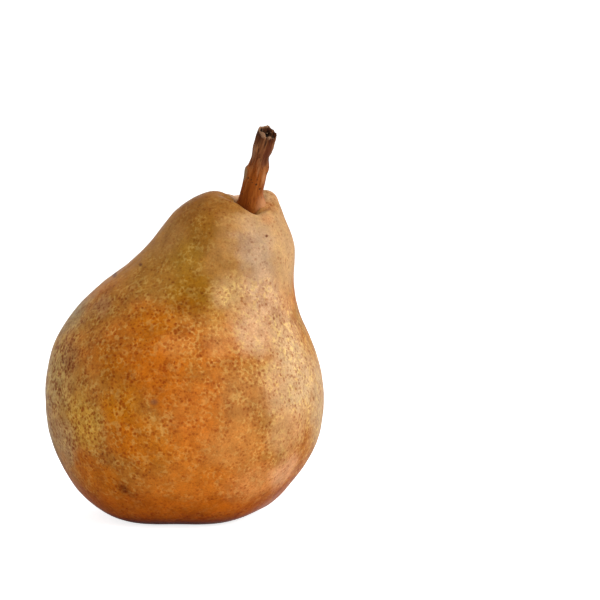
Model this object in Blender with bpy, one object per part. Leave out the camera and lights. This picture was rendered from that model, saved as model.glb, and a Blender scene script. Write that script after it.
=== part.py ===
"""A ripe russet pear that stands on its base, with its woody stem and the dried calyx in its eye.

The fruit, the stem and the calyx are one object each. Sizes are in millimetres, and MM turns them into
Blender's metres. The pear stands on the plane Z = 0 with the middle of its box over the origin. Its neck
is swung to the right (+X) and nods to the front (-Y), and the stem leans on from there.
"""

import math
import random
from functools import partial
from typing import NamedTuple

import bmesh
import bpy
from mathutils import Vector, noise

MM = 0.001
CLEARANCE = 0.3  # between the flesh and what grows out of it


class Ring(NamedTuple):
    """One cross-section of the fruit."""

    height: float  # of its centre above the table
    radius: float
    right: float = 0.0  # how far its centre is swung to the right
    front: float = 0.0  # how far its centre is swung to the front
    nod: float = 0.0  # degrees that its plane tips to the front
    shoulders: float = 0.0  # how far it waves up at its two shoulders and down between them
    gap: float = 0.0  # how far it drops where the stem leans out over it
    gap_at: float = 317.0  # degrees from the right, through the back, to that place
    lobes: float = 0.0  # share of the radius by which its five lobes swell


# From the floor of the stem's pit, over the crown, down the outside, and up into the eye.
FRUIT_RINGS = (
    Ring(87.2, 0.0, right=18.8, front=5.8, gap_at=285),
    Ring(87.2, 3.4, right=18.8, front=5.8, gap_at=285),
    Ring(88.6, 4.6, right=18.8, front=5.7, shoulders=1.2, gap=0.9, gap_at=285),
    Ring(91.9, 5.5, right=18.7, front=5.6, shoulders=0.4, gap=4.6, gap_at=290),
    Ring(93.1, 9.0, right=17.5, front=5.2, shoulders=1.0, gap=5.0, gap_at=314),
    Ring(91.2, 12.3, right=14.8, front=5.0, nod=1, shoulders=0.9, gap=5.0),
    Ring(88.0, 15.3, right=12.9, front=4.6, nod=2, shoulders=0.6, gap=4.1),
    Ring(84.4, 17.5, right=12.0, front=4.1, nod=3, shoulders=0.3, gap=2.5),
    Ring(79.0, 20.5, right=10.8, front=3.5, nod=4, shoulders=0.1, gap=1.2),
    Ring(73.0, 23.6, right=7.8, front=2.7, nod=4, gap=0.4),
    Ring(66.5, 27.9, right=3.3, front=1.8, nod=3),
    Ring(58.5, 32.4, right=0.1, front=0.8, nod=2),
    Ring(48.5, 37.4, right=-0.6, front=0.2, lobes=0.002),
    Ring(36.5, 40.1, right=-0.3, lobes=0.004),
    Ring(24.5, 39.1, right=-0.2, lobes=0.008),
    Ring(15.0, 35.1, right=-0.6, lobes=0.014),
    Ring(8.0, 30.4, right=-1.2, lobes=0.022),
    Ring(3.0, 25.3, right=-1.4, lobes=0.04),
    Ring(0.8, 20.2, right=-1.6, lobes=0.06),
    Ring(-0.6, 14.2, right=-1.5, lobes=0.06),
    Ring(-0.3, 10.0, right=-1.4, lobes=0.06),
    Ring(1.4, 7.6, right=-1.4, lobes=0.06),
    Ring(4.6, 6.2, right=-1.4, lobes=0.05),
    Ring(7.0, 3.6, right=-1.4, lobes=0.03),
    Ring(7.6, 0.0, right=-1.4),
)
SHOULDER_ANGLE = math.radians(25)  # the crown is highest there and across from there
GAP_WIDTH = 58  # degrees from the middle of the gap to where it has mostly closed
FRUIT_SEGMENTS = 60
FRUIT_ROWS_PER_RING = 2
LOBE_ANGLE = math.radians(17)  # of the first of the five lobes
LUMP_SIZE = 21.0
LUMP_HEIGHT = 0.35
LUMPS_OUTSIDE_RADIUS = (6, 16)  # they rise between these radii of a ring
LUMPS_ABOVE_HEIGHT = (2, 16)  # and between these heights


class StemRing(NamedTuple):
    """One cross-section of the stem."""

    along: float  # distance up the stem from the floor of the pit
    radius: float
    torn: float = 0.0  # share of the torn end's unevenness that it shows
    bark: float = 1.0  # share of the bark's ridges that it shows


# From the middle of the torn end, over its rim, and down to the root in the flesh.
STEM_RINGS = (
    StemRing(21.6, 0.0, torn=0.8, bark=0.0),
    StemRing(21.7, 1.3, torn=1.0, bark=0.3),
    StemRing(22.9, 2.0, torn=0.7, bark=0.8),
    StemRing(23.0, 2.6, torn=0.5),
    StemRing(21.4, 2.8, torn=0.1),
    StemRing(18.6, 2.65),
    StemRing(15.4, 2.4),
    StemRing(12.6, 2.65),
    StemRing(9.6, 3.0),
    StemRing(6.0, 3.1, bark=0.7),
    StemRing(2.6, 3.5, bark=0.4),
    StemRing(0.4, 4.1, bark=0.2),
    StemRing(-1.6, 3.7, bark=0.1),
    StemRing(-4.4, 2.6, bark=0.0),
    StemRing(-5.0, 0.0, bark=0.0),
)
STEM_SEGMENTS = 36
STEM_ROWS_PER_RING = 3
STEM_FOOT = Vector((18.1, -5.9, 88.2))
STEM_LEAN = Vector((0.150, -0.24, 1.0)).normalized()
STEM_LENGTH = 23.0
STEM_BOW = Vector((2.2, 0.0, 0.0))  # how far the tip is bowed off the straight line
BARK_RIDGES = ((5, 0.045, 0.05), (8, 0.03, -0.07), (13, 0.02, 0.04))  # count, share of radius, twist per mm
STEM_SWELLINGS = (  # distance up the stem, degrees from the right through the back, height and reach
    (11.6, 195, 0.55, 1.6),  # the scar of a bud
    (10.8, 0, 0.35, 2.0),
    (0.9, 350, 0.8, 2.6),  # the foot, which spreads over the open side of the pit
)
TEAR_HEIGHT = 0.8
TEAR_COUNT = 3.1  # how many of its teeth there are, about, for each radian
TEAR_SLANT = 0.18  # how steeply the torn end drops to the front
TEAR_SLANT_ALONG = (14, 22)  # the slant sets in between these distances up the stem

EYE = Vector((-1.4, 0.0, 7.2))  # where the calyx sits at the top of the basin
CALYX_TUBE_RADIUS = 2.3
CALYX_TUBE_SUNK = 4.0
CALYX_TUBE_DROP = 0.9  # how far it stands out of the basin's top
CALYX_TUBE_SEGMENTS = 20
CALYX_TUBE_ROWS = 10
SEPALS = 5
SEPAL_ROOT = 0.8  # how far from the middle of the tube a sepal starts
SEPAL_ROOT_DROP = 0.55  # how far below the eye its midrib starts
SEPAL_LENGTHS = (4.2, 4.9)
SEPAL_CURLS = (1.6, 3.0)  # how far its tip hangs below its root
SEPAL_HALF_WIDTH = 1.5
SEPAL_HALF_THICKNESS = 0.46  # at its root
SEPAL_TIP_THINNING = 0.3  # share of the thickness that is gone at the tip
SEPAL_TILT = 0.9
SEPAL_TROUGH = 0.35  # how far its edges stand above its midrib at the tip
STAMENS = 9
STAMEN_RINGS = (0.5, 1.3)
STAMEN_SUNK = 0.4  # how far above the eye it starts, inside the tube
STAMEN_LENGTHS = (2.2, 3.0)
STAMEN_SPREAD = 0.5
STAMEN_RADIUS = 0.32

SKIN_COLOUR = (0.50, 0.22, 0.06, 1.0)
BARK_COLOUR = (0.21, 0.08, 0.03, 1.0)
CALYX_COLOUR = (0.07, 0.04, 0.025, 1.0)


def eased(x, low, high):
    """0 below low, 1 above high, and a smooth rise between."""
    t = min(max((x - low) / (high - low), 0.0), 1.0)
    return t * t * (3 - 2 * t)


def smooth_between(rings, share):
    """The ring that lies share of the way from the first ring to the last, on curves through them all."""
    place = min(max(share, 0.0), 1.0) * (len(rings) - 1)
    i = min(int(place), len(rings) - 2)
    t = place - i

    def apart(a, b):
        return max(math.dist(rings[a][:2], rings[b][:2]), 1e-6)

    width = apart(i, i + 1)
    before, after = max(i - 1, 0), min(i + 2, len(rings) - 1)
    values = []
    for k in range(len(rings[0])):
        start, end = rings[i][k], rings[i + 1][k]
        slope = (end - start) / width
        slope_in = slope if before == i else (end - rings[before][k]) / (width + apart(before, i))
        slope_out = slope if after == i + 1 else (rings[after][k] - start) / (width + apart(i + 1, after))
        values.append(
            start * (2 * t**3 - 3 * t**2 + 1)
            + end * (3 * t**2 - 2 * t**3)
            + slope_in * width * (t**3 - 2 * t**2 + t)
            + slope_out * width * (t**3 - t**2)
        )
    return type(rings[0])(*values)


def fruit_point(share, angle):
    """A point on the fruit: share runs from the stem's pit to the eye, angle from right through back."""
    ring = smooth_between(FRUIT_RINGS, share)
    across = ring.radius * (1 + ring.lobes * math.cos(5 * (angle - LOBE_ANGLE)))
    outward = Vector((math.cos(angle), math.sin(angle), 0.0))
    lump = noise.noise((outward * ring.radius + Vector((0, 0, ring.height))) / LUMP_SIZE)
    lump *= eased(ring.radius, *LUMPS_OUTSIDE_RADIUS) * eased(ring.height, *LUMPS_ABOVE_HEIGHT)
    across += LUMP_HEIGHT * lump
    rise = ring.shoulders * math.cos(2 * (angle - SHOULDER_ANGLE))
    off_gap = abs(math.remainder(math.degrees(angle) - ring.gap_at, 360)) / GAP_WIDTH
    rise -= ring.gap * math.exp(-(off_gap**3))
    nod = math.radians(ring.nod)
    x = ring.right + across * outward.x
    y = across * outward.y * math.cos(nod) - rise * math.sin(nod) - ring.front
    z = ring.height + across * outward.y * math.sin(nod) + rise * math.cos(nod)
    return Vector((x, y, max(z, 0.0)))


def stem_centre(along):
    """The middle of the stem at that distance from the floor of the pit."""
    return STEM_FOOT + STEM_LEAN * along + STEM_BOW * (along / STEM_LENGTH) * abs(along / STEM_LENGTH)


def stem_point(share, angle, grow=0.0):
    """A point on the stem: share runs from the torn end to the root. grow pushes it outwards."""
    ring = smooth_between(STEM_RINGS, share)
    bark = sum(size * math.cos(count * angle + turn * ring.along) for count, size, turn in BARK_RIDGES)
    radius = ring.radius * (1 + ring.bark * bark)
    for swelling, turn, height, reach in STEM_SWELLINGS:
        around = math.remainder(angle - math.radians(turn), math.tau) * ring.radius
        far = math.hypot(ring.along - swelling, around) / reach
        radius += height * math.exp(-(far**2)) * min(ring.radius, 1.0)
    tear = noise.noise((TEAR_COUNT * math.cos(angle), TEAR_COUNT * math.sin(angle), ring.radius))
    lift = ring.torn * TEAR_HEIGHT * tear
    lift += eased(ring.along, *TEAR_SLANT_ALONG) * TEAR_SLANT * radius * math.sin(angle)
    centre = stem_centre(ring.along)
    up = (stem_centre(ring.along + 1) - centre).normalized()
    right = Vector((0, 1, 0)).cross(up).normalized()
    back = up.cross(right)
    return centre + up * lift + (radius + grow) * (right * math.cos(angle) + back * math.sin(angle))


def calyx_tube_point(share, angle, grow=0.0):
    """A point on the short tube that holds the sepals, from its sunken top to its mouth."""
    turn = math.pi * min(max(share, 0.0), 1.0)
    height = CALYX_TUBE_SUNK - share * (CALYX_TUBE_SUNK + CALYX_TUBE_DROP) + grow * math.cos(turn)
    radius = (CALYX_TUBE_RADIUS + grow) * math.sin(turn) ** 0.5
    return EYE + Vector((radius * math.cos(angle), radius * math.sin(angle), height))


def sepal_point(turn, length, curl, share, angle):
    """A point on one dried sepal, which leaves the tube and curls out and down towards its tip."""
    width = SEPAL_HALF_WIDTH * math.sin(math.pi * share**0.6) ** 0.8
    thick = SEPAL_HALF_THICKNESS * (1 - SEPAL_TIP_THINNING * share) * math.sin(math.pi * share) ** 0.3
    outward = Vector((math.cos(turn), math.sin(turn), 0))
    sideways = Vector((-math.sin(turn), math.cos(turn), 0))
    down = curl * share**1.5 + SEPAL_TROUGH * share * math.cos(angle) ** 2
    midrib = outward * (SEPAL_ROOT + length * (share - share**2 / 4))
    face = (Vector((0, 0, 1)) + outward * SEPAL_TILT * share).normalized()
    spot = midrib + sideways * (width * math.cos(angle)) + face * (thick * math.sin(angle))
    return EYE + spot - Vector((0, 0, down + SEPAL_ROOT_DROP))


def stamen_point(foot, spike, share, angle):
    """A point on one withered stamen, a spike that stands down out of the tube."""
    radius = STAMEN_RADIUS * math.sin(math.pi * share) ** 0.5
    return EYE + foot + spike * share + Vector((radius * math.cos(angle), radius * math.sin(angle), 0))


def drawn_sphere(name, segments, rows, point_at, collection):
    """A closed skin: a sphere whose every vertex goes to point_at(share, angle), share from pole to pole."""
    mesh = bpy.data.meshes.new(name)
    shape = bmesh.new()
    bmesh.ops.create_uvsphere(shape, u_segments=segments, v_segments=rows, radius=1.0)
    for vertex in shape.verts:
        share = round(math.acos(min(max(vertex.co.z, -1.0), 1.0)) / math.pi * rows) / rows
        vertex.co = point_at(share, math.atan2(vertex.co.y, vertex.co.x)) * MM
    bmesh.ops.recalc_face_normals(shape, faces=shape.faces)
    shape.to_mesh(mesh)
    shape.free()
    mesh.shade_smooth()
    made = bpy.data.objects.new(name, mesh)
    collection.objects.link(made)
    return made


def coloured(made, name, colour, roughness):
    """Gives an object its own plain material."""
    material = bpy.data.materials.new(name)
    material.use_nodes = True
    shader = material.node_tree.nodes["Principled BSDF"]
    shader.inputs["Base Color"].default_value = colour
    shader.inputs["Roughness"].default_value = roughness
    shader.inputs["Metallic"].default_value = 0.0
    made.data.materials.append(material)


def new_collection(name):
    made = bpy.data.collections.new(name)
    bpy.context.scene.collection.children.link(made)
    return made


def cut_socket(body, socket):
    """Cuts the socket's shape from the body and leaves the socket as a wire helper."""
    socket.hide_render = True
    socket.display_type = "WIRE"
    cut = body.modifiers.new(socket.name, "BOOLEAN")
    cut.operation = "DIFFERENCE"
    cut.object = socket


def join_all(body, pieces):
    """Unions every object of the pieces collection into the body, and removes them."""
    union = body.modifiers.new("join", "BOOLEAN")
    union.operation = "UNION"
    union.operand_type = "COLLECTION"
    union.collection = pieces
    graph = bpy.context.evaluated_depsgraph_get()
    joined = bpy.data.meshes.new_from_object(body.evaluated_get(graph))
    body.modifiers.remove(union)
    body.data = joined
    for piece in list(pieces.objects):
        bpy.data.objects.remove(piece)
    bpy.data.collections.remove(pieces)


def make_fruit(pear):
    """The flesh with its skin."""
    rows = FRUIT_ROWS_PER_RING * (len(FRUIT_RINGS) - 1)
    fruit = drawn_sphere("fruit", FRUIT_SEGMENTS, rows, fruit_point, pear)
    coloured(fruit, "russet skin", SKIN_COLOUR, 0.5)
    return fruit


def make_stem(pear, cutters, fruit):
    """The woody stem, ridged along its length, scarred where a bud was and torn at its end."""
    rows = STEM_ROWS_PER_RING * (len(STEM_RINGS) - 1)
    stem = drawn_sphere("stem", STEM_SEGMENTS, rows, stem_point, pear)
    coloured(stem, "stem bark", BARK_COLOUR, 0.75)
    grown = partial(stem_point, grow=CLEARANCE)
    cut_socket(fruit, drawn_sphere("stem_socket", STEM_SEGMENTS, rows, grown, cutters))
    return stem


def make_calyx(pear, cutters, fruit):
    """The dried flower end: a short tube, five curled sepals and the withered stamens, grown together."""
    draw = random.Random(5)
    sides = CALYX_TUBE_SEGMENTS, CALYX_TUBE_ROWS
    calyx = drawn_sphere("calyx", *sides, calyx_tube_point, pear)
    pieces = new_collection("calyx pieces")
    for i in range(SEPALS):
        turn = math.tau * i / SEPALS + draw.uniform(-0.12, 0.12)
        shape = partial(sepal_point, turn, draw.uniform(*SEPAL_LENGTHS), draw.uniform(*SEPAL_CURLS))
        drawn_sphere(f"sepal_{i}", 10, 9, shape, pieces)
    for i in range(STAMENS):
        turn = math.tau * i / STAMENS
        outward = Vector((math.cos(turn), math.sin(turn), 0))
        foot = outward * STAMEN_RINGS[i % 2] + Vector((0, 0, STAMEN_SUNK))
        spike = (outward * STAMEN_SPREAD - Vector((0, 0, 1))).normalized() * draw.uniform(*STAMEN_LENGTHS)
        drawn_sphere(f"stamen_{i}", 5, 4, partial(stamen_point, foot, spike), pieces)
    join_all(calyx, pieces)
    coloured(calyx, "dried calyx", CALYX_COLOUR, 0.9)
    grown = partial(calyx_tube_point, grow=CLEARANCE)
    cut_socket(fruit, drawn_sphere("calyx_socket", *sides, grown, cutters))
    return calyx


def centre_over_origin(fruit, others):
    """Hangs everything on one empty, placed so that the middle of the fruit's box is over the origin."""
    box = [Vector(corner) for corner in fruit.bound_box]
    middle = (box[0] + box[6]) / 2
    holder = bpy.data.objects.new("pear_middle", None)
    bpy.context.scene.collection.objects.link(holder)
    holder.location = (-middle.x, -middle.y, 0)
    for made in (fruit, *others):
        made.parent = holder


def main():
    for old in list(bpy.data.objects):
        bpy.data.objects.remove(old)
    pear = new_collection("pear")
    cutters = new_collection("cutters")
    fruit = make_fruit(pear)
    stem = make_stem(pear, cutters, fruit)
    calyx = make_calyx(pear, cutters, fruit)
    centre_over_origin(fruit, (stem, calyx, *cutters.objects))


main()
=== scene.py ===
"""Looks of a ripe russet pear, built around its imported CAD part.

The fruit, the stem with its torn end and the dried calyx are a class each. Their sizes are fields, and their
methods model the pieces and dress them. Sizes are in millimetres on the part's own axes, and MM turns them
into Blender's metres: +X is the side that the neck leans to, -Y is towards the viewer and +Z is up.
"""
# ruff: noqa: E402

import logging
import math
import random
from collections.abc import Callable, Iterable, Mapping, Sequence
from dataclasses import dataclass, field
from enum import Enum
from itertools import pairwise
from typing import Any, NamedTuple

import bpy
from mathutils import Matrix, Vector


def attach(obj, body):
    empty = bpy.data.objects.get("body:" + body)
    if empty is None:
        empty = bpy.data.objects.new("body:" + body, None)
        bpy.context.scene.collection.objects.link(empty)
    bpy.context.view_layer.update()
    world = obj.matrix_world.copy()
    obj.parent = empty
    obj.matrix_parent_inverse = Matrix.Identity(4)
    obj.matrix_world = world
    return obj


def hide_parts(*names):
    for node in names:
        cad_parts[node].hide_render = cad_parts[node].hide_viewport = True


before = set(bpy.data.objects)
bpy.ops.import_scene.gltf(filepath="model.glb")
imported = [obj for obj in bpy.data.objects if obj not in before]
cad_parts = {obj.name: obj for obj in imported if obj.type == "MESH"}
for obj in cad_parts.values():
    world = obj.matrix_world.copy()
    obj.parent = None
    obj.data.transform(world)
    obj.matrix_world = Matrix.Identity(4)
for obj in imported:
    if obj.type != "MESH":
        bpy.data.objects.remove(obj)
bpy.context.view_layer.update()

LOG = logging.getLogger("pear")
MM = 0.001
MIDDLE = Vector((0.296, -0.144, 0.0))  # from the ring tables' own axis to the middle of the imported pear's box

Piece = bpy.types.Object
Socket = bpy.types.NodeSocket
NodeGroup = bpy.types.NodeTree
Colour = tuple[float, float, float, float]
Triple = tuple[float, float, float]
ORIGIN = (0.0, 0.0, 0.0)
WHITE = (1.0, 1.0, 1.0, 1.0)


class Slot(Enum):
    """The record's material slots."""

    SKIN = "skin"
    BARK = "bark"
    CALYX = "calyx"


class Way(Enum):
    """The direction in which a displacement moves a mesh."""

    NORMAL = "NORMAL"
    UP = "Z"


def shade(red: int, green: int, blue: int) -> Colour:
    """Turns a colour as a screen shows it, 0 to 255, into Blender's linear one."""
    linear = [((c / 255 + 0.055) / 1.055) ** 2.4 if c > 10 else c / 255 / 12.92 for c in (red, green, blue)]
    return (linear[0], linear[1], linear[2], 1.0)


def eased(x: float, low: float, high: float) -> float:
    """Rises smoothly from 0 at low to 1 at high, or falls where low is the larger."""
    t = min(max((x - low) / (high - low), 0.0), 1.0)
    return t * t * (3 - 2 * t)


def hill(distance: float, reach: float) -> float:
    """A smooth bump: 1 in its middle and almost 0 at twice its reach."""
    return math.exp(-((distance / reach) ** 2))


def turn_between(angle: float, degrees: float) -> float:
    """How far an angle in radians is from one in degrees, the short way round, in degrees."""
    return math.remainder(math.degrees(angle) - degrees, 360.0)


# Modelling


class Station(NamedTuple):
    """One ring of a loft: its middle, its radius, and how far its plane is tipped, in degrees."""

    x: float
    y: float
    z: float
    radius: float
    tilt: float = 0.0

    @property
    def middle(self) -> Vector:
        """The ring's middle in metres."""
        return Vector((self.x, self.y, self.z)) * MM


def deselect_all() -> None:
    """Leaves nothing selected, with no piece in edit mode."""
    if bpy.context.object and bpy.context.object.mode != "OBJECT":
        bpy.ops.object.mode_set(mode="OBJECT")
    bpy.ops.object.select_all(action="DESELECT")


def work_on(piece: Piece) -> None:
    """Makes a piece the only one selected, and the active one."""
    deselect_all()
    piece.select_set(True)
    bpy.context.view_layer.objects.active = piece


def named(name: str) -> Piece:
    """Names the object that an operator has just added, settles its place in its mesh, and returns it."""
    piece = bpy.context.object
    piece.name = piece.data.name = name
    bpy.ops.object.transform_apply(location=True, rotation=True, scale=True)
    return piece


def modify(piece: Piece, kind: str, **settings: Any) -> None:
    """Adds a modifier to a piece and applies it.

    Args:
        piece: The piece.
        kind: The modifier's type.
        settings: Its settings.
    """
    modifier = piece.modifiers.new(kind.lower(), kind)
    for key, value in settings.items():
        setattr(modifier, key, value)
    work_on(piece)
    bpy.ops.object.modifier_apply(modifier=modifier.name)


def pick(piece: Piece, chosen: Callable[[bpy.types.MeshVertex], bool]) -> None:
    """Selects those vertices of the piece in edit mode that a test picks, and no others."""
    bpy.context.tool_settings.mesh_select_mode = (True, False, False)
    bpy.ops.mesh.select_all(action="DESELECT")
    bpy.ops.object.mode_set(mode="OBJECT")
    for vertex in piece.data.vertices:
        vertex.select = chosen(vertex)
    bpy.ops.object.mode_set(mode="EDIT")


def loft(name: str, stations: Sequence[Station], segments: int, tilt_axis: str = "X") -> Piece:
    """Draws a tube by extruding a circle from ring to ring.

    Its vertices stay in rows: ring i holds the vertices from i * segments on.

    Args:
        name: The piece's name.
        stations: The rings, in order.
        segments: How many vertices a ring has.
        tilt_axis: The axis that the rings' planes tip about, X or Y.

    Returns:
        The open tube, at the origin.
    """
    deselect_all()
    first = stations[0]
    bpy.ops.mesh.primitive_circle_add(vertices=segments, radius=first.radius * MM, location=first.middle)
    tube = named(name)
    bpy.ops.object.mode_set(mode="EDIT")
    bpy.ops.mesh.select_all(action="SELECT")
    for before, after in [(first._replace(tilt=0.0), first), *pairwise(stations)]:
        middle = after.middle
        if after is not first:
            bpy.ops.mesh.extrude_region_move(TRANSFORM_OT_translate={"value": middle - before.middle})
        grown = after.radius / before.radius
        bpy.ops.transform.resize(value=(grown, grown, grown), center_override=middle)
        tipped = math.radians(after.tilt - before.tilt)
        bpy.ops.transform.rotate(value=-tipped, orient_axis=tilt_axis, center_override=middle)
    bpy.ops.mesh.select_all(action="SELECT")
    bpy.ops.mesh.normals_make_consistent(inside=False)
    deselect_all()
    return tube


def close_ends(tube: Piece, segments: int) -> None:
    """Gathers the first and the last ring of a loft into a point each and turns its faces outwards.

    Args:
        tube: The loft.
        segments: How many vertices a ring has.
    """
    work_on(tube)
    bpy.ops.object.mode_set(mode="EDIT")
    for start in (len(tube.data.vertices) - segments, 0):
        ring = range(start, start + segments)
        pick(tube, lambda vertex, ring=ring: vertex.index in ring)
        bpy.ops.mesh.merge(type="CENTER")
    bpy.ops.mesh.select_all(action="SELECT")
    bpy.ops.mesh.remove_doubles(threshold=0.00001)
    bpy.ops.mesh.normals_make_consistent(inside=False)
    deselect_all()


def paint(piece: Piece, name: str, weight_at: Callable[[int, Vector], float]) -> str:
    """Paints a vertex group.

    Args:
        piece: The piece to paint on.
        name: The group's name.
        weight_at: Gives the weight of a vertex from its number and its place in millimetres.

    Returns:
        The group's name, for a modifier.
    """
    group = piece.vertex_groups.new(name=name)
    for vertex in piece.data.vertices:
        weight = weight_at(vertex.index, vertex.co / MM)
        if weight > 0.001:
            group.add([vertex.index], min(weight, 1.0), "REPLACE")
    return group.name


class Lumps(NamedTuple):
    """Soft unevenness of a surface, in millimetres."""

    height: float  # from low to high
    size: float
    depth: int = 2  # how often finer lumps are laid over them


def push(piece: Piece, height: float, group: str = "", way: Way = Way.NORMAL, **settings: Any) -> None:
    """Displaces a mesh.

    Args:
        piece: The piece.
        height: How far it moves where the weight is 1.
        group: The vertex group that weighs it, or none.
        way: The direction.
        settings: Further settings of the modifier.
    """
    settings = {"mid_level": 0.0, "direction": way.value, "vertex_group": group} | settings
    modify(piece, "DISPLACE", strength=height * MM, **settings)


def roughen(
    piece: Piece, lumps: Lumps, group: str = "", way: Way = Way.NORMAL, along: Piece | None = None
) -> None:
    """Displaces a mesh by lumps.

    Args:
        piece: The piece.
        lumps: The lumps.
        group: The vertex group that weighs them, or none.
        way: The direction.
        along: An empty whose axes the lumps are laid along, or none for the piece's own.
    """
    texture = bpy.data.textures.new("lumps", "CLOUDS")
    texture.noise_scale, texture.noise_depth = lumps.size * MM, lumps.depth
    laid: dict[str, Any] = {"texture_coords": "LOCAL"}
    if along:
        laid = {"texture_coords": "OBJECT", "texture_coords_object": along}
    push(piece, lumps.height, group, way, mid_level=0.5, texture=texture, **laid)


def lift(piece: Piece, height: float, weight_at: Callable[[int, Vector], float]) -> None:
    """Moves a mesh up by a height, weighed at each vertex."""
    push(piece, height, paint(piece, "lift", weight_at), Way.UP)


def subdivide(piece: Piece) -> None:
    """Rounds a mesh by subdividing it once."""
    modify(piece, "SUBSURF", levels=1, render_levels=1)


def shade_smooth(piece: Piece) -> None:
    """Shades a piece smooth all over."""
    work_on(piece)
    bpy.ops.object.shade_smooth()
    deselect_all()


def moved(x: float, y: float, z: float) -> Matrix:
    """A move along the axes, in millimetres."""
    return Matrix.Translation(Vector((x, y, z)) * MM)


def turned(degrees: float, axis: str) -> Matrix:
    """A turn about an axis."""
    return Matrix.Rotation(math.radians(degrees), 4, axis)


def copied(master: Piece, places: Iterable[Matrix]) -> list[Piece]:
    """Copies a piece, each copy with its own mesh, and takes the piece itself away.

    Args:
        master: The piece.
        places: From the piece's place to that of each copy.

    Returns:
        The copies.
    """
    copies = []
    for place in places:
        made = master.copy()
        made.data = master.data.copy()
        made.data.transform(place)
        bpy.context.scene.collection.objects.link(made)
        copies.append(made)
    bpy.data.objects.remove(master)
    return copies


def joined(name: str, pieces: Sequence[Piece]) -> Piece:
    """Joins pieces into the first of them.

    Args:
        name: The name of the whole.
        pieces: The pieces.

    Returns:
        The whole.
    """
    work_on(pieces[0])
    for piece in pieces:
        piece.select_set(True)
    bpy.ops.object.join()
    whole = bpy.context.object
    whole.name = whole.data.name = name
    deselect_all()
    return whole


def between(rings: Sequence[Any], share: float) -> Any:
    """Finds a ring on smooth curves through a table of rings.

    Args:
        rings: Named tuples whose first two fields are lengths that the curves are paced by.
        share: How far along the table, from 0 to 1.

    Returns:
        The ring there, of the same kind.
    """
    place = min(max(share, 0.0), 1.0) * (len(rings) - 1)
    i = min(int(place), len(rings) - 2)
    t = place - i
    before, after = max(i - 1, 0), min(i + 2, len(rings) - 1)

    def apart(a: int, b: int) -> float:
        """The distance between two rings of the table."""
        return max(math.dist(rings[a][:2], rings[b][:2]), 1e-6)

    width = apart(i, i + 1)
    values = []
    for k in range(len(rings[0])):
        start, end = rings[i][k], rings[i + 1][k]
        slope = (end - start) / width
        slope_in = slope if before == i else (end - rings[before][k]) / (width + apart(before, i))
        slope_out = slope if after == i + 1 else (rings[after][k] - start) / (width + apart(i + 1, after))
        values.append(
            start * (2 * t**3 - 3 * t**2 + 1)
            + end * (3 * t**2 - 2 * t**3)
            + slope_in * width * (t**3 - 2 * t**2 + t)
            + slope_out * width * (t**3 - t**2)
        )
    return type(rings[0])(*values)


# Drawing materials

Feed = Any  # a socket to link, or the value of an input


class Graph:
    """Draws the nodes of one material or node group."""

    def __init__(self, tree: NodeGroup) -> None:
        """Starts on an empty tree."""
        self.tree = tree
        tree.nodes.clear()

    def add(self, kind: str, feeds: Mapping[Any, Feed] | None = None, **settings: Any) -> bpy.types.Node:
        """Adds a node.

        Args:
            kind: The node's type, without ShaderNode.
            feeds: What each input gets, by its name or number.
            settings: The node's own settings.

        Returns:
            The node.
        """
        node = self.tree.nodes.new(kind if kind.startswith("NodeGroup") else "ShaderNode" + kind)
        for key, value in settings.items():
            setattr(node, key, value)
        for key, feed in (feeds or {}).items():
            if isinstance(feed, Socket):
                self.tree.links.new(feed, node.inputs[key])
            else:
                node.inputs[key].default_value = feed
        return node

    def math(self, operation: str, a: Feed, b: Feed = 0.0) -> Socket:
        """The result of a sum."""
        return self.add("Math", {0: a, 1: b}, operation=operation).outputs[0]

    def times(self, first: Feed, *others: Feed) -> Socket:
        """Numbers multiplied."""
        for other in others:
            first = self.math("MULTIPLY", first, other)
        return first

    def vector(self, operation: str, a: Feed, b: Feed = ORIGIN) -> Socket:
        """The result of a vector sum."""
        return self.add("VectorMath", {0: a, 1: b}, operation=operation).outputs[0]

    def scaled(self, a: Feed, by: Feed) -> Socket:
        """A vector times a number."""
        return self.add("VectorMath", {0: a, "Scale": by}, operation="SCALE").outputs[0]

    def far(self, a: Feed) -> Socket:
        """How long a vector is."""
        return self.add("VectorMath", {0: a}, operation="LENGTH").outputs["Value"]

    def mix(self, factor: Feed, a: Feed, b: Feed, blend: str = "MIX") -> Socket:
        """Two colours mixed."""
        feeds = {0: factor, 6: a, 7: b}
        return self.add("Mix", feeds, data_type="RGBA", blend_type=blend).outputs[2]

    def ramp(self, value: Feed, low: Feed, high: Feed, start: Feed = 0.0, end: Feed = 1.0) -> Socket:
        """A value eased from start at low to end at high."""
        feeds = {"Value": value, "From Min": low, "From Max": high, "To Min": start, "To Max": end}
        return self.add("MapRange", feeds, interpolation_type="SMOOTHSTEP").outputs[0]

    def noise(self, point: Feed, size: Feed, detail: float = 2.0, rough: float = 0.5) -> bpy.types.Node:
        """Soft noise with lumps of a size, in the point's own unit."""
        scale = self.math("DIVIDE", 1.0, size) if isinstance(size, Socket) else 1.0 / size
        return self.add("TexNoise", {"Vector": point, "Scale": scale, "Detail": detail, "Roughness": rough})

    def group(self, group: NodeGroup, feeds: Mapping[str, Feed]) -> Socket:
        """Places a node group and returns its first output."""
        return self.add("Group", feeds, node_tree=group).outputs[0]


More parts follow.
